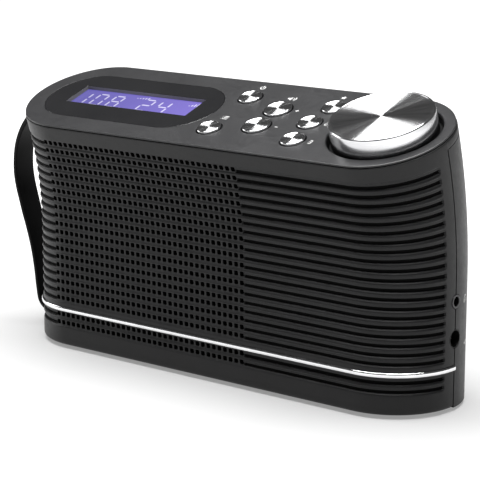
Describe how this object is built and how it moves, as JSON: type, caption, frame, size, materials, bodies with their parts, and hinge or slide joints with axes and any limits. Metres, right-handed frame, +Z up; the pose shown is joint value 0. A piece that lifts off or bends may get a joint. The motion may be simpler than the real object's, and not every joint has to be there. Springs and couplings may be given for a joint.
{
  "type": "tabletop radio",
  "caption": "Tabletop digital radio with a ribbed front, tilted control deck with dial and round buttons, backlit display, folding aerial and a side carrying strap.",
  "frame": {"origin": "on the surface the feet stand on, under the middle of the whole object with the strap", "axes": "+X to the right as the front is faced, +Y from the front to the back, +Z up"},
  "size_m": [0.2378, 0.0681, 0.1255],
  "materials": {
    "shell_plastic": "fine matt texture, moulded",
    "deck_plastic": "satin, moulded",
    "window_gloss": "gloss, printed black behind",
    "lcd": "backlit display glass",
    "backlight": "clear light guide",
    "bright_trim": "bright plated",
    "polished_metal": "polished plated",
    "spun_metal": "spun, with a radial grain",
    "steel": "zinc plated",
    "black_steel": "black",
    "brass": "plain",
    "dark_plastic": "moulded",
    "board": "green solder mask on glass fibre",
    "cone_paper": "black pulp",
    "cloth": "black open-weave scrim",
    "soft_rubber": "matt black",
    "strap_rubber": "soft matt black strap",
    "cell_jacket": "plain printed jacket"
  },
  "bodies": {
    "radio": {"front_shell": "shell_plastic", "rear_shell": "shell_plastic", "top_deck": "deck_plastic", "display_window": "window_gloss", "lcd_glass": "lcd", "lcd_frame": "steel", "lcd_backlight": "backlight", "chrome_strip": "bright_trim", "encoder_body": "dark_plastic", "tact_switches": "dark_plastic", "control_board": "board", "board_screws": "steel", "main_board": "board", "tuner_module": "steel", "speaker_basket": "black_steel", "speaker_magnet": "black_steel", "speaker_cone": "cone_paper", "speaker_surround": "soft_rubber", "speaker_dust_cap": "cone_paper", "speaker_screws": "steel", "grille_cloth": "cloth", "headphone_jack": "dark_plastic", "dc_socket": "dark_plastic", "jack_board": "board", "battery_tray": "dark_plastic", "batteries": "cell_jacket", "battery_springs": "steel", "battery_contacts": "steel", "aerial_bracket": "steel", "carry_strap": "strap_rubber", "strap_anchors": "steel", "rubber_feet": "soft_rubber", "case_screws": "black_steel"},
    "dial": {"dial_skirt": "polished_metal", "dial_cap": "spun_metal", "encoder_shaft": "steel"},
    "dial_plunger": {"encoder_collar": "brass"},
    "on_off_button": {"on_off_button": "spun_metal"},
    "menu_button": {"menu_button": "spun_metal"},
    "volume_up_button": {"volume_up_button": "spun_metal"},
    "volume_down_button": {"volume_down_button": "spun_metal"},
    "preset_1_button": {"preset_1_button": "spun_metal"},
    "preset_2_button": {"preset_2_button": "spun_metal"},
    "preset_3_button": {"preset_3_button": "spun_metal"},
    "battery_door": {"battery_door": "shell_plastic"},
    "aerial_base": {"aerial_barrel": "polished_metal", "aerial_pin": "steel"},
    "aerial_rod": {"aerial_section_1": "polished_metal"},
    "aerial_rod_2": {"aerial_section_2": "polished_metal"},
    "aerial_rod_3": {"aerial_section_3": "polished_metal"},
    "aerial_rod_4": {"aerial_section_4": "polished_metal", "aerial_tip": "polished_metal"}
  },
  "joints": [
    {"name": "dial_press", "type": "slide", "parent": "radio", "child": "dial_plunger", "axis": [0, 0.3338, -0.9426], "range_m": [0, 0.0008], "stiffness_N_per_m": 2500, "springref_m": -0.0004},
    {"name": "dial_turn", "type": "hinge", "parent": "dial_plunger", "child": "dial", "pos_m": [0.08961, -0.00634, 0.11192], "axis": [0, -0.3338, 0.9426], "continuous": true},
    {"name": "on_off_press", "type": "slide", "parent": "radio", "child": "on_off_button", "axis": [0, 0.3338, -0.9426], "range_m": [0, 0.0006], "stiffness_N_per_m": 1500, "springref_m": -0.0003},
    {"name": "menu_press", "type": "slide", "parent": "radio", "child": "menu_button", "axis": [0, 0.3338, -0.9426], "range_m": [0, 0.0006], "stiffness_N_per_m": 1500, "springref_m": -0.0003},
    {"name": "volume_up_press", "type": "slide", "parent": "radio", "child": "volume_up_button", "axis": [0, 0.3338, -0.9426], "range_m": [0, 0.0006], "stiffness_N_per_m": 1500, "springref_m": -0.0003},
    {"name": "volume_down_press", "type": "slide", "parent": "radio", "child": "volume_down_button", "axis": [0, 0.3338, -0.9426], "range_m": [0, 0.0006], "stiffness_N_per_m": 1500, "springref_m": -0.0003},
    {"name": "preset_1_press", "type": "slide", "parent": "radio", "child": "preset_1_button", "axis": [0, 0.3338, -0.9426], "range_m": [0, 0.0006], "stiffness_N_per_m": 1500, "springref_m": -0.0003},
    {"name": "preset_2_press", "type": "slide", "parent": "radio", "child": "preset_2_button", "axis": [0, 0.3338, -0.9426], "range_m": [0, 0.0006], "stiffness_N_per_m": 1500, "springref_m": -0.0003},
    {"name": "preset_3_press", "type": "slide", "parent": "radio", "child": "preset_3_button", "axis": [0, 0.3338, -0.9426], "range_m": [0, 0.0006], "stiffness_N_per_m": 1500, "springref_m": -0.0003},
    {"name": "aerial_turn", "type": "hinge", "parent": "radio", "child": "aerial_base", "pos_m": [0.07361, 0.02779, 0.08969], "axis": [1, 0, 0], "range_deg": [0, 75]},
    {"name": "aerial_tilt", "type": "hinge", "parent": "aerial_base", "child": "aerial_rod", "pos_m": [0.07361, 0.02779, 0.08969], "axis": [0, 0.1822, -0.9833], "range_deg": [0, 90]},
    {"name": "aerial_draw_1", "type": "slide", "parent": "aerial_rod", "child": "aerial_rod_2", "axis": [-1, 0, 0], "range_m": [0, 0.108]},
    {"name": "aerial_draw_2", "type": "slide", "parent": "aerial_rod_2", "child": "aerial_rod_3", "axis": [-1, 0, 0], "range_m": [0, 0.108]},
    {"name": "aerial_draw_3", "type": "slide", "parent": "aerial_rod_3", "child": "aerial_rod_4", "axis": [-1, 0, 0], "range_m": [0, 0.108]},
    {"name": "battery_door_off", "type": "slide", "parent": "radio", "child": "battery_door", "axis": [0, 1, 0], "range_m": [0, 0.04]}
  ]
}
